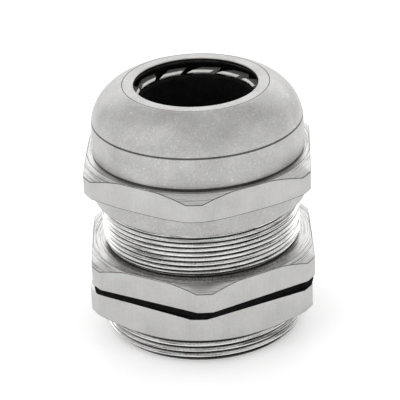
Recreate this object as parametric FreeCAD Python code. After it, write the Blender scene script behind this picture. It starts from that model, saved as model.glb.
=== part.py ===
import FreeCAD, Part
import math
import os

# Metal cable gland, M50 x 1.5 entry thread, cable side up (+Z).
# The origin is the centre of the entry end of the body.  Units are millimetres.

# Hexagons: all three are milled from the same turned bar.
HEX_AF = 55.0
HEX_CORNER_R = 30.7
NUT_TURN_DEG = -3.0
LOCKNUT_TURN_DEG = -3.0

# Body
ENTRY_PITCH = 1.5
ENTRY_MAJOR_R = 24.93
ENTRY_PITCH_R = 24.51
ENTRY_ROOT_R = 24.05
UPPER_PITCH = 1.25
UPPER_MAJOR_R = 24.70
UPPER_PITCH_R = 24.344
UPPER_ROOT_R = 23.97
ENTRY_START_Z = -1.5
UPPER_START_Z = 24.3
BODY_HEX_BOTTOM = 17.3
BODY_HEX_TOP = 23.85
BODY_TOP = 47.0
PILOT_LENGTH = 1.1
ENTRY_BORE_R = 20.0
BODY_BORE_R = 15.5
LEDGE_Z = 29.0
SEAT_Z = 33.0
CHAMBER_R = 20.1
MOUTH_R = 21.4
HEX_FACE_R = 27.95
CHAMFER_SLOPE = math.tan(math.radians(30.0))

# Dome nut
NUT_BOTTOM = 36.0
NUT_BOTTOM_R = 26.45
NUT_SKIRT_TOP_R = 27.15
NUT_HEX_BOTTOM = 40.7
NUT_HEX_TOP = 47.7
BAND_R = 26.3
CREASE_R = 26.0
CREASE_Z = 55.6
CROWN_R = 18.1
NUT_TOP = 64.5
OPENING_R = 15.25
NUT_BORE_R = 24.2
DOME_BULGE = 1.75

# Lock nut and its gasket
GASKET_BOTTOM = 15.45
GASKET_TOP = 17.25
GASKET_AF = 54.4
GASKET_CORNER_R = 30.3
GASKET_HOLE_R = 25.3
LOCKNUT_BOTTOM = 7.6
LOCKNUT_TOP = 15.4
LOCKNUT_BORE_R = 24.35

# Clamping cage and cable seal
FINGER_COUNT = 12
FINGER_WIDTH = 6.2
FINGER_LEAN_DEG = 62.0
LEAN_START_R = 14.3
LEAN_START_Z = 60.0
HINGE_R = 17.95
HINGE_PIN_R = 1.0
RING_BOTTOM = 42.5
RING_TOP = 46.0
RING_INNER_R = 16.4
RING_OUTER_R = 19.9
SEAL_BOTTOM = 33.1
SEAL_TOP = 60.4
SEAL_INNER_R = 13.9
SEAL_OUTER_R = 16.2

# Threads leave this much play along the axis on each flank, and start this far round from +X.
FLANK_PLAY = 0.12
THREAD_START_DEG = 20.0
TAN30 = math.tan(math.radians(30.0))


def vec(x, y, z):
    return FreeCAD.Vector(x, y, z)


def turned(points):
    """Solid of revolution about Z from a closed list of (radius, height) points."""
    corners = [vec(r, 0.0, z) for r, z in points]
    corners.append(corners[0])
    face = Part.Face(Part.makePolygon(corners))
    return face.revolve(vec(0, 0, 0), vec(0, 0, 1), 360.0)


def arc_points(start, end, bulge, steps):
    """Points along a shallow arc from start to end, both ends left out."""
    dr = end[0] - start[0]
    dz = end[1] - start[1]
    chord = math.hypot(dr, dz)
    radius = (chord * chord / 4.0 + bulge * bulge) / (2.0 * bulge)
    half_angle = math.asin(chord / 2.0 / radius)
    normal = (dz / chord, -dr / chord)
    centre_r = (start[0] + end[0]) / 2.0 + normal[0] * (bulge - radius)
    centre_z = (start[1] + end[1]) / 2.0 + normal[1] * (bulge - radius)
    base = math.atan2(normal[1], normal[0])
    points = []
    for i in range(1, steps):
        angle = base - half_angle + 2.0 * half_angle * i / steps
        points.append((centre_r + radius * math.cos(angle), centre_z + radius * math.sin(angle)))
    return points


def dome_face(inner, start, end, bulge):
    """Section with one true arc from start to end, closed by the straight points in inner."""
    mid = arc_points(start, end, bulge, 2)[0]
    a = vec(start[0], 0, start[1])
    b = vec(end[0], 0, end[1])
    arc = Part.Arc(a, vec(mid[0], 0, mid[1]), b).toShape()
    path = [b] + [vec(r, 0, z) for r, z in inner] + [a]
    edges = [arc]
    for i in range(len(path) - 1):
        edges.append(Part.makeLine(path[i], path[i + 1]))
    return Part.Face(Part.Wire(edges))


def hex_bar(across_flats, bottom, top, turn_deg):
    """Hexagonal prism with one corner towards -Y before it is turned."""
    corner_r = across_flats / math.sqrt(3.0)
    corners = []
    for i in range(7):
        angle = math.radians(-90.0 + turn_deg + 60.0 * i)
        corners.append(vec(corner_r * math.cos(angle), corner_r * math.sin(angle), bottom))
    face = Part.Face(Part.makePolygon(corners))
    return face.extrude(vec(0, 0, top - bottom))


def helical_cutter(pitch, start_z, turns, profile):
    """Screw-shaped cutter; profile is (radius, half width) at its inner and outer side."""
    helix = Part.makeHelix(pitch, pitch * turns, profile[0][0])
    helix.translate(vec(0, 0, start_z))
    inner_r, inner_half = profile[0]
    outer_r, outer_half = profile[1]
    section = Part.makePolygon([
        vec(inner_r, 0, start_z - inner_half),
        vec(outer_r, 0, start_z - outer_half),
        vec(outer_r, 0, start_z + outer_half),
        vec(inner_r, 0, start_z + inner_half),
        vec(inner_r, 0, start_z - inner_half),
    ])
    sweep = Part.BRepOffsetAPI.MakePipeShell(Part.Wire(helix))
    sweep.setFrenetMode(True)
    sweep.add(section)
    sweep.build()
    sweep.makeSolid()
    cutter = sweep.shape()
    if cutter.Volume < 0:
        cutter.reverse()
    return cutter


def cut_thread(blank, pitch, start_z, turns, lengths, profile):
    """Cut one helical groove in several end-to-end lengths, all on the same helix."""
    step = 360.0 * turns / lengths
    cutter = helical_cutter(pitch, start_z, turns / lengths, profile)
    result = blank
    for i in range(lengths):
        angle = THREAD_START_DEG + step * i
        tool = cutter.copy()
        tool.rotate(vec(0, 0, 0), vec(0, 0, 1), angle)
        tool.translate(vec(0, 0, pitch * angle / 360.0))
        result = result.cut(tool)
    return result


def groove_half_width(radius, pitch, pitch_r):
    return pitch / 4.0 + (radius - pitch_r) * TAN30


def outside_thread(pitch, pitch_r, root_r, major_r):
    """Groove of an outside thread, cut a little past the crest."""
    outer_r = major_r + 0.09
    inner = (root_r, groove_half_width(root_r, pitch, pitch_r))
    outer = (outer_r, groove_half_width(outer_r, pitch, pitch_r))
    return inner, outer


def inside_thread(pitch, pitch_r, bore_r, major_r):
    """Groove that takes the crest of the outside thread, with play on both flanks."""
    inner_r = bore_r - 0.1
    inner_half = pitch / 2.0 - groove_half_width(inner_r, pitch, pitch_r) + FLANK_PLAY
    outer_half = pitch / 2.0 - groove_half_width(major_r, pitch, pitch_r) + FLANK_PLAY
    return (inner_r, inner_half), (major_r, outer_half)


def body_blank():
    drop = (HEX_CORNER_R - HEX_FACE_R) * CHAMFER_SLOPE
    blank = turned([
        (ENTRY_BORE_R + 0.8, 0.0),
        (ENTRY_MAJOR_R - 1.45, 0.0),
        (ENTRY_MAJOR_R, 1.45),
        (ENTRY_MAJOR_R, 14.9),
        (ENTRY_ROOT_R - 0.1, 15.4),
        (ENTRY_ROOT_R - 0.1, BODY_HEX_BOTTOM),
        (HEX_CORNER_R, BODY_HEX_BOTTOM),
        (HEX_CORNER_R, BODY_HEX_TOP - drop),
        (HEX_FACE_R, BODY_HEX_TOP),
        (UPPER_ROOT_R - 0.1, BODY_HEX_TOP),
        (UPPER_ROOT_R - 0.1, BODY_HEX_TOP + 0.55),
        (UPPER_MAJOR_R, BODY_HEX_TOP + 0.95),
        (UPPER_MAJOR_R, BODY_TOP - PILOT_LENGTH),
        (UPPER_ROOT_R - 0.1, BODY_TOP - PILOT_LENGTH),
        (UPPER_ROOT_R - 0.1, BODY_TOP - 0.4),
        (UPPER_ROOT_R - 0.5, BODY_TOP),
        (MOUTH_R, BODY_TOP),
        (CHAMBER_R, BODY_TOP - 1.2),
        (CHAMBER_R, SEAT_Z),
        (BODY_BORE_R, SEAT_Z),
        (BODY_BORE_R, LEDGE_Z),
        (ENTRY_BORE_R, LEDGE_Z - 2.6),
        (ENTRY_BORE_R, 0.8),
    ])
    return blank.common(hex_bar(HEX_AF, -1.0, BODY_TOP + 1.0, 0.0))


def gland_body():
    entry = outside_thread(ENTRY_PITCH, ENTRY_PITCH_R, ENTRY_ROOT_R, ENTRY_MAJOR_R)
    upper = outside_thread(UPPER_PITCH, UPPER_PITCH_R, UPPER_ROOT_R, UPPER_MAJOR_R)
    body = cut_thread(body_blank(), UPPER_PITCH, UPPER_START_Z, 18.3, 3, upper)
    return cut_thread(body, ENTRY_PITCH, ENTRY_START_Z, 11.4, 2, entry)


def nut_blank():
    hex_half = HEX_AF / 2.0
    low_rise = (HEX_CORNER_R - hex_half) * math.tan(math.radians(14.4))
    top_face_r = 27.7
    top_drop = (HEX_CORNER_R - top_face_r) * math.tan(math.radians(28.6))
    straight = [
        (OPENING_R + 0.15, NUT_TOP),
        (OPENING_R, NUT_TOP - 0.15),
        (OPENING_R, 62.9),
        (16.4, 62.9),
        (21.0, 53.7),
        (25.1, 53.7),
        (25.1, 51.3),
        (NUT_BORE_R, 51.3),
        (NUT_BORE_R, NUT_BOTTOM + 1.0),
        (25.2, NUT_BOTTOM),
        (NUT_BOTTOM_R, NUT_BOTTOM),
        (NUT_SKIRT_TOP_R, NUT_HEX_BOTTOM),
        (hex_half, NUT_HEX_BOTTOM),
        (HEX_CORNER_R, NUT_HEX_BOTTOM + low_rise),
        (HEX_CORNER_R, NUT_HEX_TOP - top_drop),
        (top_face_r, NUT_HEX_TOP),
        (BAND_R - 0.4, NUT_HEX_TOP),
        (BAND_R - 0.4, NUT_HEX_TOP + 0.35),
        (BAND_R, NUT_HEX_TOP + 0.5),
    ]
    face = dome_face(straight, (CREASE_R, CREASE_Z), (CROWN_R, NUT_TOP), DOME_BULGE)
    blank = face.revolve(vec(0, 0, 0), vec(0, 0, 1), 360.0)
    return blank.common(hex_bar(HEX_AF, NUT_BOTTOM - 1.0, NUT_TOP + 1.0, NUT_TURN_DEG))


def dome_nut():
    groove = inside_thread(UPPER_PITCH, UPPER_PITCH_R, NUT_BORE_R, 24.9)
    start = UPPER_START_Z + UPPER_PITCH * 8.5
    return cut_thread(nut_blank(), UPPER_PITCH, start, 13.6, 3, groove)


def lock_nut():
    drop = (HEX_CORNER_R - 27.3) * CHAMFER_SLOPE
    blank = turned([
        (LOCKNUT_BORE_R, LOCKNUT_BOTTOM + 0.8),
        (25.15, LOCKNUT_BOTTOM),
        (27.3, LOCKNUT_BOTTOM),
        (HEX_CORNER_R, LOCKNUT_BOTTOM + drop),
        (HEX_CORNER_R, LOCKNUT_TOP),
        (25.15, LOCKNUT_TOP),
        (LOCKNUT_BORE_R, LOCKNUT_TOP - 0.8),
    ])
    blank = blank.common(hex_bar(HEX_AF, 0.0, 20.0, LOCKNUT_TURN_DEG))
    groove = inside_thread(ENTRY_PITCH, ENTRY_PITCH_R, LOCKNUT_BORE_R, 25.12)
    return cut_thread(blank, ENTRY_PITCH, ENTRY_START_Z + ENTRY_PITCH * 5.5, 7.0, 2, groove)


def hex_gasket():
    blank = turned([
        (GASKET_HOLE_R, GASKET_BOTTOM),
        (GASKET_CORNER_R, GASKET_BOTTOM),
        (GASKET_CORNER_R, GASKET_TOP),
        (GASKET_HOLE_R, GASKET_TOP),
    ])
    return blank.common(hex_bar(GASKET_AF, 10.0, 20.0, 0.0))


def cable_seal():
    return turned([
        (SEAL_INNER_R + 0.6, SEAL_BOTTOM),
        (19.5, SEAL_BOTTOM),
        (19.5, SEAL_BOTTOM + 2.3),
        (19.0, SEAL_BOTTOM + 2.8),
        (SEAL_OUTER_R, SEAL_BOTTOM + 2.8),
        (SEAL_OUTER_R, SEAL_TOP - 0.5),
        (SEAL_OUTER_R - 0.5, SEAL_TOP),
        (SEAL_INNER_R + 0.6, SEAL_TOP),
        (SEAL_INNER_R, SEAL_TOP - 0.6),
        (SEAL_INNER_R, SEAL_BOTTOM + 0.6),
    ])


def hinge_pin(radius, length):
    """Cylinder along the tangent of the ring at +X, centred on the hinge of one finger."""
    return Part.makeCylinder(radius, length, vec(HINGE_R, -length / 2.0, RING_TOP), vec(0, 1, 0))


def clamp_ring():
    ring = turned([
        (RING_INNER_R, RING_BOTTOM + 0.3),
        (RING_INNER_R + 0.3, RING_BOTTOM),
        (RING_OUTER_R - 0.6, RING_BOTTOM),
        (RING_OUTER_R, RING_BOTTOM + 0.6),
        (RING_OUTER_R, RING_TOP),
        (RING_INNER_R, RING_TOP),
    ])
    pocket = hinge_pin(HINGE_PIN_R + 0.12, FINGER_WIDTH + 0.8)
    for number in range(FINGER_COUNT):
        tool = pocket.copy()
        tool.rotate(vec(0, 0, 0), vec(0, 0, 1), 360.0 * number / FINGER_COUNT)
        ring = ring.cut(tool)
    return ring


def finger_shell():
    """Full ring with the section of one finger above its hinge; each finger is a slice of it."""
    return turned([
        (HINGE_R - 0.7, RING_TOP),
        (HINGE_R + 0.7, RING_TOP),
        (HINGE_R + 0.7, 46.3),
        (19.2, 46.3),
        (20.4, 52.5),
        (20.4, 54.0),
        (16.65, 61.5),
        (14.7, 61.5),
        (14.3, 61.1),
        (14.3, 60.9),
        (14.5, 60.7),
        (16.55, 60.7),
        (16.55, 46.3),
        (HINGE_R - 0.7, 46.3),
    ])


def finger_slice():
    """Slab between the two sides of a finger at +X; its tip leans over sideways, towards -Y."""
    half = FINGER_WIDTH / 2.0
    foot = LEAN_START_Z - 14.0
    top = LEAN_START_Z + 12.0
    shift = (top - LEAN_START_Z) * math.tan(math.radians(FINGER_LEAN_DEG))
    corners = [
        vec(LEAN_START_R - 5.0, -half, foot),
        vec(LEAN_START_R - 5.0, half, foot),
        vec(LEAN_START_R - 5.0, half, LEAN_START_Z),
        vec(LEAN_START_R - 5.0, half - shift, top),
        vec(LEAN_START_R - 5.0, -half - shift, top),
        vec(LEAN_START_R - 5.0, -half, LEAN_START_Z),
        vec(LEAN_START_R - 5.0, -half, foot),
    ]
    slab = Part.Face(Part.makePolygon(corners)).extrude(vec(30.0, 0, 0))
    slab.rotate(vec(LEAN_START_R, 0, LEAN_START_Z), vec(0, 1, 0), 45.0)
    return slab


def clamp_finger(number):
    finger = finger_shell().common(finger_slice()).fuse(hinge_pin(HINGE_PIN_R, FINGER_WIDTH))
    finger.rotate(vec(0, 0, 0), vec(0, 0, 1), 360.0 * number / FINGER_COUNT)
    return finger


def save(name, shape):
    if len(shape.Solids) != 1:
        raise RuntimeError("%s has %d solids" % (name, len(shape.Solids)))
    solid = shape.Solids[0]
    if not solid.isValid():
        raise RuntimeError("%s is not valid" % name)
    solid.exportStep("parts/%s.step" % name)
    box = solid.BoundBox
    print("%s volume %.1f z %.2f to %.2f" % (name, solid.Volume, box.ZMin, box.ZMax))


def main():
    os.makedirs("parts", exist_ok=True)
    save("cable_seal", cable_seal())
    save("hex_gasket", hex_gasket())
    save("clamp_ring", clamp_ring())
    for number in range(FINGER_COUNT):
        save("clamp_finger_%02d" % (number + 1), clamp_finger(number))
    save("lock_nut", lock_nut())
    save("dome_nut", dome_nut())
    save("gland_body", gland_body())


main()
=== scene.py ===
import math

import bmesh
import bpy
import numpy as np
from mathutils import Matrix, Vector

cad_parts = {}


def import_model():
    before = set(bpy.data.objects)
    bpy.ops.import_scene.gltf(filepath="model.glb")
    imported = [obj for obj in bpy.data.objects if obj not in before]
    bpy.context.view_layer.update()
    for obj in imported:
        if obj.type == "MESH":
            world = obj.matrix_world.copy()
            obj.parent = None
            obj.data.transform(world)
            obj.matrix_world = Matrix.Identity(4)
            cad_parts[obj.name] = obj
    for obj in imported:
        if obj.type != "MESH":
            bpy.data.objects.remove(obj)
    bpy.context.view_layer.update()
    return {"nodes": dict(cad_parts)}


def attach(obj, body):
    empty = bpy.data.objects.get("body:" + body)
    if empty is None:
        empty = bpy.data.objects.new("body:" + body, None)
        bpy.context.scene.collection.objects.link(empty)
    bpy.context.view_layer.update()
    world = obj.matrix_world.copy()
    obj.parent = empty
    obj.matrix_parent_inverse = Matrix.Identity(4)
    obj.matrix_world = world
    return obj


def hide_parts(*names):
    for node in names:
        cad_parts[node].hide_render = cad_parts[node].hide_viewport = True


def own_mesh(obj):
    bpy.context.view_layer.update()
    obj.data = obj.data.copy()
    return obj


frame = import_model()

MM = 0.001
TAN30 = math.tan(math.radians(30.0))

# Sizes in millimetres.  Heights are above the bench, with the lock nut's end of the body at 0.
HEX_APOTHEM = 27.5
HEX_CORNER_R = 30.69
NUT_TURN_DEG = -3.0

BODY_HEX_BOTTOM = 17.3
BODY_HEX_TOP = 23.85
BODY_TOP = 47.0
BODY_BORE_R = 20.0
BODY_SEAT_R = 15.5
BODY_SEAT_Z = 33.0

NUT_BOTTOM = 36.0
NUT_HEX_BOTTOM = 40.7
NUT_HEX_TOP = 47.7
NUT_TOP = 64.5
NUT_BORE_R = 24.2
NUT_RELIEF_R = 25.1
DOME_FOOT_R = 26.0
OPENING_R = 15.25
OPENING_LIP = 0.95

LOCKNUT_BOTTOM = 7.6
LOCKNUT_TOP = 15.4
LOCKNUT_BORE_R = 24.35

GASKET_APOTHEM = 27.2
GASKET_CORNER_R = 30.3
GASKET_BORE_R = 25.35
GASKET_BOTTOM = 15.47
GASKET_TOP = 17.23

SEAL_R = 16.2
SEAL_BORE_R = 13.9
SEAL_FOOT = 33.1
SEAL_TOP = 60.4

# Threads: the upper one takes the dome nut, the entry one takes the lock nut.
ENTRY = {"pitch": 1.5, "pitch_r": 24.51, "root_r": 24.05, "major_r": 24.93, "start": -1.5}
UPPER = {"pitch": 1.25, "pitch_r": 24.344, "root_r": 23.97, "major_r": 24.70, "start": 24.3}
FLANK_PLAY = 0.12
EDGE_BREAK = 0.2
EDGE_R = 0.2


# ---------------------------------------------------------------- mesh tools

def columns(turn_deg=None, apothem=HEX_APOTHEM, corner_r=HEX_CORNER_R, count=300):
    """Angles round the axis in radians, packed closely beside each corner of a hexagon."""
    angles = list(np.linspace(0.0, 360.0, count + 1))
    if turn_deg is not None:
        half = 30.0 - math.degrees(math.acos(apothem / corner_r))
        for corner in range(6):
            middle = -90.0 + turn_deg + 60.0 * corner
            for side in (-half, half):
                for step in (-0.5, -0.3, -0.15, 0.0, 0.15, 0.3, 0.5):
                    angles.append((middle + side + step) % 360.0)
    angles = np.unique(np.round(angles, 4))
    keep = np.concatenate([[True], np.diff(angles) > 0.04])
    angles = angles[keep]
    angles[-1] = 360.0
    return np.radians(angles)


def smooth_min(a, b, width):
    """The smaller of a and b, with the corner between them rounded over width."""
    h = np.clip(0.5 + 0.5 * (b - a) / width, 0.0, 1.0)
    return b * (1 - h) + a * h - width * h * (1 - h)


def hex_radius(angles, turn_deg, apothem=HEX_APOTHEM, corner_r=HEX_CORNER_R, width=0.06):
    """Radius of a hexagon with turned corners; one corner is towards -Y before it is turned."""
    t = np.mod(angles - math.radians(-90.0 + turn_deg), math.pi / 3) - math.pi / 6
    return smooth_min(apothem / np.cos(t), np.full_like(angles, corner_r), width)


def path(angles, *points):
    """Points (radius, height, fillet) as an array; each value may change with the angle."""
    rows = np.zeros((len(points), len(angles), 2))
    fillets = []
    for i, point in enumerate(points):
        rows[i, :, 0] = point[0]
        rows[i, :, 1] = point[1]
        fillets.append(point[2] if len(point) > 2 else 0.0)
    return rows, fillets


def rounded(rows, fillets, steps=3):
    """Rounds the corners of an open profile; also gives each point's first and last row."""
    out = [rows[0]]
    spans = [(0, 0)]
    for i in range(1, len(rows) - 1):
        fillet = fillets[i]
        first = len(out)
        if fillet <= 0:
            out.append(rows[i])
            spans.append((first, first))
            continue
        back = rows[i - 1] - rows[i]
        ahead = rows[i + 1] - rows[i]
        back_len = np.maximum(np.linalg.norm(back, axis=1), 1e-9)
        ahead_len = np.maximum(np.linalg.norm(ahead, axis=1), 1e-9)
        back_dir = back / back_len[:, None]
        ahead_dir = ahead / ahead_len[:, None]
        cos_turn = np.clip((back_dir * ahead_dir).sum(1), -0.9999, 0.9999)
        half = np.arccos(cos_turn) / 2.0
        cut = fillet / np.maximum(np.tan(half), 0.05)
        cut = np.minimum(np.minimum(cut, 0.45 * back_len), 0.45 * ahead_len)
        a = rows[i] + back_dir * cut[:, None]
        c = rows[i] + ahead_dir * cut[:, None]
        for k in range(steps + 1):
            t = k / steps
            out.append(a * (1 - t) ** 2 + rows[i] * 2 * t * (1 - t) + c * t * t)
        spans.append((first, len(out) - 1))
    out.append(rows[-1])
    spans.append((len(out) - 1, len(out) - 1))
    return np.array(out), spans


def thread_shape(thread, inside):
    """One pitch of thread as (offset in pitches, radius), centred on the middle of the crest."""
    pitch = thread["pitch"]

    def half_groove(radius):
        return (pitch / 4.0 + (radius - thread["pitch_r"]) * TAN30) / pitch

    root, major = thread["root_r"], thread["major_r"]
    grow = 0.0
    if inside:
        root += 0.15
        major += 0.19
        grow = FLANK_PLAY / pitch
    crest = 0.5 - half_groove(major) + grow
    foot = 0.5 - half_groove(root) + grow
    crest = max(crest, 0.02)
    foot = min(foot, 0.47)
    soft = 0.12 * (major - root)
    blend = (foot - crest) * 0.12
    return [
        (-0.5, root),
        (-foot, root),
        (-foot + blend, root + soft),
        (-crest - blend, major - soft),
        (-crest, major),
        (0.0, major),
        (crest, major),
        (crest + blend, major - soft),
        (foot - blend, root + soft),
        (foot, root),
    ]


def thread_rows(angles, thread, low, high, envelope, inside=False, wear=None):
    """Helical rows between two heights; envelope(z) is the largest (or smallest) radius there."""
    pitch = thread["pitch"]
    shape = thread_shape(thread, inside)
    offsets = np.array([p[0] for p in shape] + [0.5])
    radii = np.array([p[1] for p in shape] + [shape[0][1]])
    crest_start = thread["start"] + pitch * 0.5
    first = crest_start + pitch * math.floor((low - 1.6 * pitch - crest_start) / pitch)
    turns = int(math.ceil((high - first) / pitch)) + 2
    frac = angles / (2 * math.pi)
    rows = []
    for k in range(turns):
        for off, _ in shape:
            z = np.clip(first + pitch * (k + frac + off), low, high)
            phase = np.mod((z - crest_start) / pitch - frac + 0.5, 1.0) - 0.5
            r = np.interp(phase, offsets, radii)
            if wear is not None:
                r = r - wear(angles, z)
            limit = envelope(z)
            r = np.maximum(r, limit) if inside else np.minimum(r, limit)
            rows.append(np.stack([r, z], axis=1))
    return np.array(rows)


def edge_rows(spans, points, offset=0):
    """Row ranges of the rounded corners at the given profile points."""
    return [(offset + spans[p][0], offset + spans[p][1]) for p in points]


def lathe(name, angles, rows, painted=()):
    """Closed ring-shaped mesh: rows are the closed section at each angle.

    painted holds (first row, last row, material index).
    """
    count = len(angles)
    x = rows[:, :, 0] * np.cos(angles)[None, :]
    y = rows[:, :, 0] * np.sin(angles)[None, :]
    verts = np.stack([x, y, rows[:, :, 1]], axis=2) * MM
    total = len(rows)
    row_kind = [0] * total
    for low, high, kind in painted:
        for i in range(low, high):
            row_kind[i] = kind
    faces = []
    kinds = []
    for i in range(total):
        j = (i + 1) % total
        for c in range(count - 1):
            faces.append((i * count + c, i * count + c + 1, j * count + c + 1, j * count + c))
            kinds.append(row_kind[i])
    mesh = bpy.data.meshes.new(name)
    mesh.from_pydata(verts.reshape(-1, 3).tolist(), [], faces)
    mesh.polygons.foreach_set("material_index", kinds)
    return mesh


def tidy_mesh(mesh, sharp_deg):
    """Welds doubled points, drops empty faces, points the faces outwards."""
    bm = bmesh.new()
    bm.from_mesh(mesh)
    bmesh.ops.remove_doubles(bm, verts=bm.verts, dist=2e-7)
    bmesh.ops.dissolve_degenerate(bm, dist=1e-7, edges=bm.edges)
    bmesh.ops.recalc_face_normals(bm, faces=bm.faces)
    if bm.calc_volume(signed=True) < 0:
        bmesh.ops.reverse_faces(bm, faces=bm.faces)
    bm.to_mesh(mesh)
    bm.free()
    mesh.shade_smooth()
    mesh.set_sharp_from_angle(angle=math.radians(sharp_deg))


def add_piece(name, mesh, materials, body, replaced, sharp_deg=35.0):
    tidy_mesh(mesh, sharp_deg)
    for material in materials:
        mesh.materials.append(material)
    piece = bpy.data.objects.new(name, mesh)
    bpy.context.scene.collection.objects.link(piece)
    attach(piece, body)
    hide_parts(*replaced)
    return piece


# ---------------------------------------------------------------- materials

class Nodes:
    """Short calls for building a node material."""

    def __init__(self, name):
        self.material = bpy.data.materials.new(name)
        self.material.use_nodes = True
        self.tree = self.material.node_tree
        self.shader = self.tree.nodes["Principled BSDF"]

    def node(self, kind, **values):
        made = self.tree.nodes.new(kind)
        for key, value in values.items():
            setattr(made, key, value)
        return made

    def link(self, a, b):
        self.tree.links.new(a, b)

    def math(self, operation, a, b=None, clamp=False):
        made = self.node("ShaderNodeMath", operation=operation, use_clamp=clamp)
        for index, value in enumerate((a, b)):
            if value is None:
                continue
            if isinstance(value, (int, float)):
                made.inputs[index].default_value = value
            else:
                self.link(value, made.inputs[index])
        return made.outputs[0]

    def noise(self, vector, scale, detail=3.0, rough=0.5):
        made = self.node("ShaderNodeTexNoise")
        made.inputs["Scale"].default_value = scale
        made.inputs["Detail"].default_value = detail
        made.inputs["Roughness"].default_value = rough
        self.link(vector, made.inputs["Vector"])
        return made.outputs["Fac"]

    def ramp(self, value, low, high, low_out, high_out):
        made = self.node("ShaderNodeMapRange")
        self.link(value, made.inputs["Value"])
        made.inputs["From Min"].default_value = low
        made.inputs["From Max"].default_value = high
        made.inputs["To Min"].default_value = low_out
        made.inputs["To Max"].default_value = high_out
        return made.outputs["Result"]

    def mix(self, fac, a, b):
        made = self.node("ShaderNodeMix", data_type="RGBA")
        self.link(fac, made.inputs[0])
        for socket, value in ((made.inputs[6], a), (made.inputs[7], b)):
            if isinstance(value, tuple):
                socket.default_value = (*value, 1.0)
            else:
                self.link(value, socket)
        return made.outputs[2]

    def axes(self):
        """Object coordinates in millimetres: x, y, z, and the distance from the axis."""
        coords = self.node("ShaderNodeTexCoord")
        split = self.node("ShaderNodeSeparateXYZ")
        self.link(coords.outputs["Object"], split.inputs[0])
        x = self.math("MULTIPLY", split.outputs[0], 1000.0)
        y = self.math("MULTIPLY", split.outputs[1], 1000.0)
        z = self.math("MULTIPLY", split.outputs[2], 1000.0)
        radius = self.math("SQRT", self.math("ADD", self.math("MULTIPLY", x, x),
                                             self.math("MULTIPLY", y, y)))
        return x, y, z, radius

    def vector(self, x, y, z):
        made = self.node("ShaderNodeCombineXYZ")
        for index, value in enumerate((x, y, z)):
            if isinstance(value, (int, float)):
                made.inputs[index].default_value = value
            else:
                self.link(value, made.inputs[index])
        return made.outputs[0]

    def bump(self, height, strength, distance):
        made = self.node("ShaderNodeBump")
        made.inputs["Strength"].default_value = strength
        made.inputs["Distance"].default_value = distance
        self.link(height, made.inputs["Height"])
        self.link(made.outputs[0], self.shader.inputs["Normal"])


def nickel(name, grain, light, dark, rough_low, rough_high, grain_depth, root_shade=None,
           streaks=0.0, glints=0.0):
    """Nickel plate.  grain is "turned" (rings round the axis), "drawn" (along it) or "satin".

    root_shade holds the radii between which a thread's groove goes from dark to light.
    """
    n = Nodes(name)
    x, y, z, radius = n.axes()
    if grain == "turned":
        along = n.math("ADD", n.math("MULTIPLY", radius, 7.0), n.math("MULTIPLY", z, 5.3))
        lines = n.noise(n.vector(along, n.math("MULTIPLY", x, 0.02), n.math("MULTIPLY", y, 0.02)),
                        1.0, 4.0, 0.65)
    elif grain == "satin":
        lines = n.noise(n.vector(x, y, n.math("MULTIPLY", z, 1.3)), 1.1, 5.0, 0.7)
    else:
        lines = n.noise(n.vector(n.math("MULTIPLY", x, 6.0), n.math("MULTIPLY", y, 6.0),
                                 n.math("MULTIPLY", z, 0.22)), 1.0, 4.0, 0.65)
    place = n.vector(x, y, z)
    cloud = n.noise(place, 0.16, 3.0, 0.55)
    speck = n.noise(place, 2.6, 2.0, 0.6)
    fine = n.noise(place, 3.4, 2.0, 0.7)
    tone = n.math("ADD", n.math("MULTIPLY", lines, 0.30),
                  n.math("ADD", n.math("MULTIPLY", cloud, 0.35), n.math("MULTIPLY", fine, 0.35)))
    colour = n.mix(n.ramp(tone, 0.35, 0.65, 0.0, 1.0), dark, light)
    pits = n.ramp(speck, 0.70, 0.80, 0.0, 0.55)
    colour = n.mix(pits, colour, (0.30, 0.295, 0.285))
    if glints:
        bright = n.ramp(n.noise(place, 1.7, 3.0, 0.7), 0.60, 0.68, 0.0, glints)
        colour = n.mix(bright, colour, (0.86, 0.857, 0.85))
    if streaks:
        angle = n.math("ARCTAN2", y, x)
        scratch = n.noise(n.vector(n.math("MULTIPLY", z, 3.1), n.math("MULTIPLY", angle, 1.6),
                                   n.math("MULTIPLY", radius, 2.0)), 1.0, 4.0, 0.75)
        colour = n.mix(n.ramp(scratch, 0.52, 0.60, 0.0, streaks), colour, (0.10, 0.10, 0.098))
    if root_shade:
        low, high = root_shade
        shade = n.math("MULTIPLY", n.ramp(radius, low, high, 1.0, 0.0), 0.97, clamp=True)
        colour = n.mix(shade, colour, (0.012, 0.012, 0.011))
    n.link(colour, n.shader.inputs["Base Color"])
    rough = n.math("ADD", n.math("MULTIPLY", lines, 0.5), n.math("MULTIPLY", speck, 0.5))
    n.link(n.ramp(rough, 0.3, 0.7, rough_low, rough_high), n.shader.inputs["Roughness"])
    n.shader.inputs["Metallic"].default_value = 1.0
    height = n.math("ADD", n.math("MULTIPLY", lines, 0.7), n.math("MULTIPLY", speck, 0.3))
    n.bump(height, grain_depth, 0.00006)
    return n.material


def rubber(name, base, worn, rough):
    """Matte rubber that goes from base to worn in soft clouds."""
    n = Nodes(name)
    place = n.vector(*n.axes()[:3])
    cloud = n.noise(place, 0.5, 4.0, 0.6)
    grain = n.noise(place, 7.0, 3.0, 0.6)
    n.link(n.mix(n.ramp(cloud, 0.35, 0.7, 0.0, 1.0), base, worn), n.shader.inputs["Base Color"])
    n.link(n.ramp(grain, 0.3, 0.7, rough - 0.08, rough + 0.1), n.shader.inputs["Roughness"])
    n.shader.inputs["Specular IOR Level"].default_value = 0.06
    n.bump(grain, 0.35, 0.00012)
    return n.material


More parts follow.
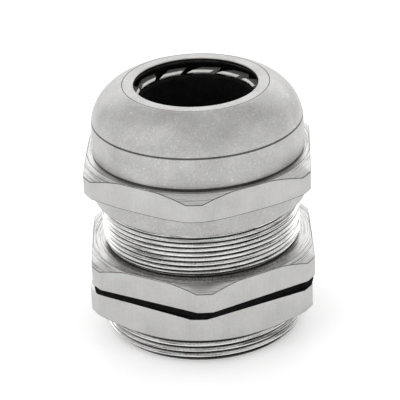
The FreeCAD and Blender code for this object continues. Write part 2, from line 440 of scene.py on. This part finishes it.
def nylon(name):
    """Light moulded nylon with painted shade: the flat tops, which face the nut's lip, are painted
    darker and matte.
    """
    n = Nodes(name)
    place = n.vector(*n.axes()[:3])
    cloud = n.noise(place, 0.7, 3.0, 0.5)
    grain = n.noise(place, 6.0, 3.0, 0.6)
    coords = n.node("ShaderNodeTexCoord")
    split = n.node("ShaderNodeSeparateXYZ")
    n.link(coords.outputs["Normal"], split.inputs[0])
    light = n.mix(n.ramp(cloud, 0.3, 0.7, 0.0, 1.0), (0.70, 0.70, 0.68), (0.86, 0.86, 0.84))
    # Painted shade: faces that point up are painted near-black, for the shade under the nut's lip.
    top = n.ramp(split.outputs[2], 0.85, 0.93, 0.0, 0.85)
    n.link(n.mix(top, light, (0.06, 0.06, 0.058)), n.shader.inputs["Base Color"])
    n.link(n.ramp(grain, 0.3, 0.7, 0.32, 0.48), n.shader.inputs["Roughness"])
    n.bump(grain, 0.25, 0.00008)
    return n.material


# ---------------------------------------------------------------- metal pieces

def nicks(seed, count, depth):
    """Small dents on a thread's crests, at fixed random places."""
    rng = np.random.default_rng(seed)
    thread_r = 24.5
    where = rng.uniform(0, 2 * math.pi, count)
    height = rng.uniform(0, 60, count)
    size = rng.uniform(0.3, 0.9, count)
    deep = rng.uniform(0.3, 1.0, count) * depth

    def wear(angles, z):
        out = np.zeros_like(z)
        for a, h, s, d in zip(where, height, size, deep):
            da = np.abs(np.mod(angles - a + math.pi, 2 * math.pi) - math.pi) * thread_r
            out += d * np.exp(-(da / s) ** 2 - ((z - h) / (0.7 * s)) ** 2)
        return np.minimum(out, depth)

    return wear


def body_mesh():
    """Materials by number: 0 turned, 1 drawn, 2 thread, 3 painted shade lines on edges, 4 entry
    thread.
    """
    angles = columns(0.0)
    h = hex_radius(angles, 0.0)
    face_r = 27.95
    top = BODY_HEX_TOP
    neck_r = ENTRY["root_r"] - 0.1
    relief = UPPER["root_r"] - 0.1
    chamfer_low = top - np.maximum((h - face_r) * TAN30, EDGE_BREAK)
    low_thread = thread_rows(
        angles, ENTRY, 0.15, 15.25,
        lambda z: np.minimum(ENTRY["major_r"] - 1.45 + z, neck_r + 0.05 + 1.8 * (15.3 - z)),
        wear=nicks(3, 160, 0.10))
    bottom, f0 = path(
        angles,
        (BODY_BORE_R, 0.9),
        (BODY_BORE_R, 0.8),
        (BODY_BORE_R + 0.8, 0.0, 0.1),
        (23.48, 0.0, 0.1),
        (23.6, 0.14),
    )
    middle, f1 = path(
        angles,
        (neck_r, 15.4),
        (neck_r, BODY_HEX_BOTTOM, 0.1),
        (h, BODY_HEX_BOTTOM, 0.1),
        (h, chamfer_low, EDGE_R),
        (np.minimum(face_r, h - EDGE_BREAK), top, EDGE_R),
        (relief, top, 0.05),
        (relief, top + 0.5),
    )
    high_thread = thread_rows(
        angles, UPPER, top + 0.6, 45.88,
        lambda z: relief + 1.9 * (z - top - 0.5), wear=nicks(5, 220, 0.08))
    inner, f2 = path(
        angles,
        (relief, 45.9),
        (relief, BODY_TOP - 0.4, 0.1),
        (relief - 0.4, BODY_TOP, 0.1),
        (21.4, BODY_TOP, 0.1),
        (BODY_BORE_R + 0.1, 45.8, 0.1),
        (BODY_BORE_R + 0.1, BODY_SEAT_Z, 0.2),
        (BODY_SEAT_R, BODY_SEAT_Z, 0.2),
        (BODY_SEAT_R, 29.0, 0.3),
        (BODY_BORE_R, 26.4, 0.3),
        (BODY_BORE_R, 1.0),
    )
    start, _ = rounded(bottom, f0)
    mid, spans = rounded(middle, f1)
    rows = np.concatenate([start, low_thread, mid, high_thread, rounded(inner, f2)[0]])
    first = len(start)
    hexagon = first + len(low_thread)
    second = hexagon + len(mid)
    painted = [(first, hexagon, 4), (second - 2, second + len(high_thread), 2),
               (hexagon + spans[2][1], hexagon + spans[3][0], 1)]
    # Painted shade lines along the hex's rounded edges.
    painted += [(low, high, 3) for low, high in edge_rows(spans, (3, 4), hexagon)]
    return lathe("gland_body_metal", angles, rows, painted)


def dome_arc(start, end, bulge, steps):
    """Points (radius, height) on the arc that rises by bulge over the line from start to end."""
    dr, dz = end[0] - start[0], end[1] - start[1]
    chord = math.hypot(dr, dz)
    radius = (chord * chord / 4.0 + bulge * bulge) / (2.0 * bulge)
    half = math.asin(chord / 2.0 / radius)
    normal = (dz / chord, -dr / chord)
    cr = (start[0] + end[0]) / 2.0 + normal[0] * (bulge - radius)
    cz = (start[1] + end[1]) / 2.0 + normal[1] * (bulge - radius)
    base = math.atan2(normal[1], normal[0])
    return [(cr + radius * math.cos(base - half + 2 * half * i / steps),
             cz + radius * math.sin(base - half + 2 * half * i / steps)) for i in range(steps + 1)]


def nut_mesh():
    """Materials by number: 0 dome, 1 drawn, 2 painted shade inside the nut, 3 painted shade lines on
    edges, 4 turned.
    """
    angles = columns(NUT_TURN_DEG)
    h = hex_radius(angles, NUT_TURN_DEG)
    low_z = NUT_HEX_BOTTOM + np.maximum((h - HEX_APOTHEM) * math.tan(math.radians(14.4)), EDGE_BREAK)
    top_r = 27.7
    high_z = NUT_HEX_TOP - np.maximum((h - top_r) * math.tan(math.radians(28.6)), EDGE_BREAK)
    outer, f0 = path(
        angles,
        (24.9, NUT_BOTTOM + 0.3),
        (25.2, NUT_BOTTOM, 0.05),
        (26.45, NUT_BOTTOM, 0.15),
        (27.15, NUT_HEX_BOTTOM, EDGE_R),
        (HEX_APOTHEM - EDGE_BREAK, NUT_HEX_BOTTOM),
        (h, low_z, EDGE_R),
        (h, high_z, EDGE_R),
        (np.minimum(top_r, h - EDGE_BREAK), NUT_HEX_TOP, EDGE_R),
        (DOME_FOOT_R - 0.1, NUT_HEX_TOP, 0.05),
        (DOME_FOOT_R - 0.1, NUT_HEX_TOP + 0.35, 0.05),
        (DOME_FOOT_R + 0.3, NUT_HEX_TOP + 0.5, 0.08),
        (DOME_FOOT_R, 55.55),
    )
    arc = dome_arc((DOME_FOOT_R, 55.6), (18.1, NUT_TOP), 1.75, 28)
    dome, _ = path(angles, *arc)
    lip, f1 = path(
        angles,
        (17.88, NUT_TOP),
        (OPENING_R + 0.15, NUT_TOP, 0.08),
        (OPENING_R, NUT_TOP - 0.15, 0.08),
        (OPENING_R, NUT_TOP - OPENING_LIP, 0.14),
        (OPENING_R + 0.5, NUT_TOP - OPENING_LIP, 0.05),
        (OPENING_R + 0.5, 62.9, 0.1),
        (16.4, 62.9, 0.1),
        (21.0, 53.7, 0.1),
        (NUT_RELIEF_R, 53.7, 0.1),
        (NUT_RELIEF_R, 51.3),
    )
    thread = thread_rows(
        angles, UPPER, 36.6, 51.25,
        lambda z: np.maximum(NUT_BORE_R, NUT_BORE_R + (NUT_BOTTOM + 1.0 - z)), inside=True)[::-1]
    skin, spans = rounded(outer, f0)
    rim, rim_spans = rounded(lip, f1)
    rows = np.concatenate([skin, dome, rim, thread])
    under = len(skin) + len(dome)
    # Rows with index 2 get painted shade: the lip's underside and the threaded bore are near-black.
    painted = [(spans[5][1], spans[6][0], 1),
               (under + rim_spans[2][1], under + rim_spans[3][0], 2),
               (under + rim_spans[3][1], len(rows), 2),
               (spans[6][1], spans[8][0], 4), (spans[8][0], spans[9][1], 3),
               (len(skin) - 1, len(skin) + 1, 3), (under - 1, under, 3)]
    # Rows with index 3 are painted shade lines: the rounded edges, the dome's foot and the ring's
    # outer edge.
    painted += [(low, high, 3) for low, high in edge_rows(spans, (3, 5, 6, 7))]
    return lathe("dome_nut_metal", angles, rows, painted)


def locknut_mesh():
    """Materials by number: 0 turned, 1 drawn, 2 painted shade line on the edge, 3 thread."""
    angles = columns(NUT_TURN_DEG)
    h = hex_radius(angles, NUT_TURN_DEG)
    low_r = 27.3
    low_z = LOCKNUT_BOTTOM + np.maximum((h - low_r) * TAN30, EDGE_BREAK)
    outer, f0 = path(
        angles,
        (24.6, LOCKNUT_BOTTOM + 0.55),
        (25.15, LOCKNUT_BOTTOM, 0.05),
        (np.minimum(low_r, h - EDGE_BREAK), LOCKNUT_BOTTOM, 0.05),
        (h, low_z, EDGE_R),
        (h, LOCKNUT_TOP, 0.1),
        (25.15, LOCKNUT_TOP, 0.05),
        (24.6, LOCKNUT_TOP - 0.55),
    )
    thread = thread_rows(
        angles, ENTRY, LOCKNUT_BOTTOM + 0.6, LOCKNUT_TOP - 0.6,
        lambda z: LOCKNUT_BORE_R + np.maximum(0.0, np.maximum(LOCKNUT_BOTTOM + 0.8 - z,
                                                              z - (LOCKNUT_TOP - 0.8))),
        inside=True)[::-1]
    skin, spans = rounded(outer, f0)
    rows = np.concatenate([skin, thread])
    # Index 2 is a painted shade line on the rounded lower edge.
    painted = [(spans[3][1], spans[4][0], 1), (*spans[3], 2), (len(skin), len(rows), 3)]
    return lathe("lock_nut_metal", angles, rows, painted)


def gasket_mesh():
    angles = columns(0.0, GASKET_APOTHEM, GASKET_CORNER_R)
    wave = 0.05 * np.sin(3 * angles + 0.4) + 0.03 * np.sin(7 * angles + 1.1)
    h = hex_radius(angles, 0.0, GASKET_APOTHEM, GASKET_CORNER_R, 0.4) - 0.06 + wave * 0.6
    rows, f = path(
        angles,
        (GASKET_BORE_R, 15.9),
        (GASKET_BORE_R, GASKET_BOTTOM, 0.1),
        (h, GASKET_BOTTOM, 0.15),
        (h + 0.02, (GASKET_BOTTOM + GASKET_TOP) / 2),
        (h, GASKET_TOP, 0.15),
        (GASKET_BORE_R, GASKET_TOP, 0.1),
        (GASKET_BORE_R, 16.2),
    )
    return lathe("hex_gasket_rubber", angles, rounded(rows, f, 4)[0])


def seal_mesh():
    """Sleeve with a foot; it gets thinner upwards, so that the fingers can fold in over it."""
    angles = columns(None, count=192)
    rows, f = path(
        angles,
        (SEAL_R, 40.0),
        (SEAL_R, 45.5, 1.0),
        (14.9, SEAL_TOP - 0.5, 0.2),
        (14.7, SEAL_TOP, 0.1),
        (14.4, SEAL_TOP, 0.1),
        (SEAL_BORE_R, SEAL_TOP - 0.5, 0.2),
        (SEAL_BORE_R, SEAL_FOOT + 0.6, 0.2),
        (14.5, SEAL_FOOT, 0.1),
        (19.5, SEAL_FOOT, 0.3),
        (19.5, 35.4, 0.3),
        (19.0, 35.9, 0.3),
        (SEAL_R, 35.9, 0.3),
        (SEAL_R, 39.0),
    )
    return lathe("cable_seal_rubber", angles, rounded(rows, f, 3)[0])


# Nickel values after the grain: light and dark colour, lowest and highest roughness, grain depth.
TURNED = nickel("nickel_turned", "turned", (0.58, 0.577, 0.57), (0.45, 0.447, 0.44),
                0.15, 0.28, 0.35, streaks=0.6)
DRAWN = nickel("nickel_drawn", "drawn", (0.54, 0.537, 0.53), (0.40, 0.397, 0.39), 0.30, 0.42, 0.35)
THREAD = nickel("nickel_thread", "turned", (0.95, 0.947, 0.94), (0.75, 0.747, 0.74),
                0.2, 0.34, 0.35, root_shade=(24.02, 24.42), streaks=0.9)
ENTRY_THREAD = nickel("nickel_entry_thread", "turned", (0.95, 0.947, 0.94), (0.75, 0.747, 0.74),
                      0.2, 0.34, 0.35, root_shade=(24.15, 24.62), streaks=0.9)
DOME = nickel("nickel_dome", "satin", (0.53, 0.527, 0.52), (0.35, 0.347, 0.34),
              0.30, 0.46, 1.0, glints=0.35)
# Painted shade: near-black nickel laid as thin dark lines along rounded edges and creases.
EDGE_SHADE = nickel("nickel_edge_shade", "turned", (0.12, 0.119, 0.117), (0.05, 0.05, 0.049), 0.4, 0.5, 0.2)
# Painted shade: near-black nickel for the nut's inside, where shade falls.
INSIDE_SHADE = nickel("nickel_inside_shade", "turned", (0.05, 0.05, 0.05), (0.02, 0.02, 0.02), 0.5, 0.6, 0.2)
SEAL_RUBBER = rubber("seal_rubber", (0.004, 0.004, 0.004), (0.009, 0.009, 0.009), 0.7)
GASKET_RUBBER = rubber("gasket_rubber", (0.002, 0.002, 0.002), (0.006, 0.006, 0.006), 0.8)
NYLON = nylon("nylon_light")

add_piece("gland_body_metal", body_mesh(), (TURNED, DRAWN, THREAD, EDGE_SHADE, ENTRY_THREAD),
          "body", ("gland_body",))
add_piece("dome_nut_metal", nut_mesh(), (DOME, DRAWN, INSIDE_SHADE, EDGE_SHADE, TURNED),
          "nut", ("dome_nut",))
add_piece("lock_nut_metal", locknut_mesh(), (TURNED, DRAWN, EDGE_SHADE, THREAD),
          "locknut", ("lock_nut",))
add_piece("hex_gasket_rubber", gasket_mesh(), (GASKET_RUBBER,),
          "gasket", ("hex_gasket",), 60.0)
seal = add_piece("cable_seal_rubber", seal_mesh(), (SEAL_RUBBER,),
                 "body", ("cable_seal",), 60.0)
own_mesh(seal)

for name, node in frame["nodes"].items():
    if name.startswith("clamp_"):
        node.data.materials.clear()
        node.data.materials.append(NYLON)


# ---------------------------------------------------------------- stage

def floor():
    mesh = bpy.data.meshes.new("floor")
    half = 3.0
    corners = [(-half, -half, 0), (half, -half, 0), (half, half, 0), (-half, half, 0)]
    mesh.from_pydata(corners, [], [(0, 1, 2, 3)])
    obj = bpy.data.objects.new("floor", mesh)
    bpy.context.scene.collection.objects.link(obj)
    n = Nodes("floor_white")
    n.shader.inputs["Base Color"].default_value = (0.95, 0.95, 0.95, 1.0)
    n.shader.inputs["Roughness"].default_value = 0.9
    n.shader.inputs["Specular IOR Level"].default_value = 0.1
    n.shader.inputs["Emission Color"].default_value = (1.0, 1.0, 1.0, 1.0)
    n.shader.inputs["Emission Strength"].default_value = 0.25
    mesh.materials.append(n.material)


def area_light(name, place, target, size, power):
    data = bpy.data.lights.new(name, "AREA")
    data.shape = "RECTANGLE"
    data.size, data.size_y = size
    data.energy = power
    obj = bpy.data.objects.new(name, data)
    bpy.context.scene.collection.objects.link(obj)
    obj.location = place
    obj.rotation_euler = (Vector(target) - Vector(place)).to_track_quat("-Z", "Y").to_euler()


def world():
    """A pale sky, a little brighter near the horizon than above."""
    made = bpy.data.worlds.new("studio")
    bpy.context.scene.world = made
    made.use_nodes = True
    tree = made.node_tree
    background = tree.nodes["Background"]
    coords = tree.nodes.new("ShaderNodeTexCoord")
    split = tree.nodes.new("ShaderNodeSeparateXYZ")
    ramp = tree.nodes.new("ShaderNodeValToRGB")
    tree.links.new(coords.outputs["Generated"], split.inputs[0])
    tree.links.new(split.outputs[2], ramp.inputs[0])
    stops = ((0.0, 1.1), (0.35, 1.05), (0.7, 0.86), (1.0, 0.86))
    ramp.color_ramp.elements[0].position = 0.0
    ramp.color_ramp.elements[1].position = 1.0
    for position, _ in stops[1:-1]:
        ramp.color_ramp.elements.new(position)
    for element, (_, level) in zip(ramp.color_ramp.elements, stops):
        element.color = (level, level, level, 1.0)
    tree.links.new(ramp.outputs[0], background.inputs[0])
    background.inputs[1].default_value = 1.0


def camera():
    """Looking along +Y from above, tilted a little to the right."""
    data = bpy.data.cameras.new("camera")
    data.sensor_width = 36.0
    data.lens = 180.0
    data.clip_start = 0.01
    obj = bpy.data.objects.new("camera", data)
    bpy.context.scene.collection.objects.link(obj)
    elevation = math.radians(26.2)
    distance = 0.5
    target = Vector((-0.00015, 0.0, 0.0324))
    away = Vector((0.0, -math.cos(elevation), math.sin(elevation)))
    obj.location = target + away * distance
    aim = (-away).to_track_quat("-Z", "Y").to_matrix().to_4x4()
    roll = Matrix.Rotation(math.radians(-2.45), 4, "Z")
    obj.matrix_world = Matrix.Translation(obj.location) @ aim @ roll
    bpy.context.scene.camera = obj


floor()
world()
area_light("key", (-0.7, -0.5, 0.8), (0, 0, 0.03), (0.9, 0.9), 1.0)
area_light("back", (0.0, 0.8, 0.42), (0, 0, 0.05), (1.6, 0.5), 1.6)
camera()
bpy.context.scene.view_settings.view_transform = "Standard"
